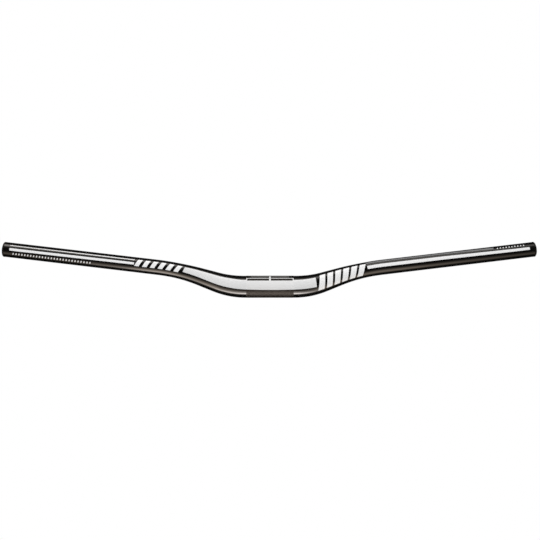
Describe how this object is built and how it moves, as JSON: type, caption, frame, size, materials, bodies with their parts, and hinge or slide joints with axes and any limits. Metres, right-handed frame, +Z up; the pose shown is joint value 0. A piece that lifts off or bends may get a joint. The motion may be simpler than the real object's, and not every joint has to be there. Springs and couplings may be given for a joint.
{
  "type": "bicycle handlebar",
  "caption": "Riser handlebar for a mountain bicycle: a hollow moulded bar, thick at the stem clamp, that rises in a tapered double bend to straight, swept-back grips.",
  "frame": {"origin": "centre of the stem clamp barrel, on the bar's axis", "axes": "+X along the barrel (to the right as seen from ahead of the bicycle), +Y to the rear, the way the grips sweep back, +Z up, the way the bar rises"},
  "size_m": [0.787, 0.0797, 0.0725],
  "materials": {
    "lacquered_carbon": "clear gloss lacquer over black carbon-fibre laminate, dull in the clamp zone"
  },
  "bodies": {
    "root": {"handlebar": "lacquered_carbon"}
  },
  "joints": []
}
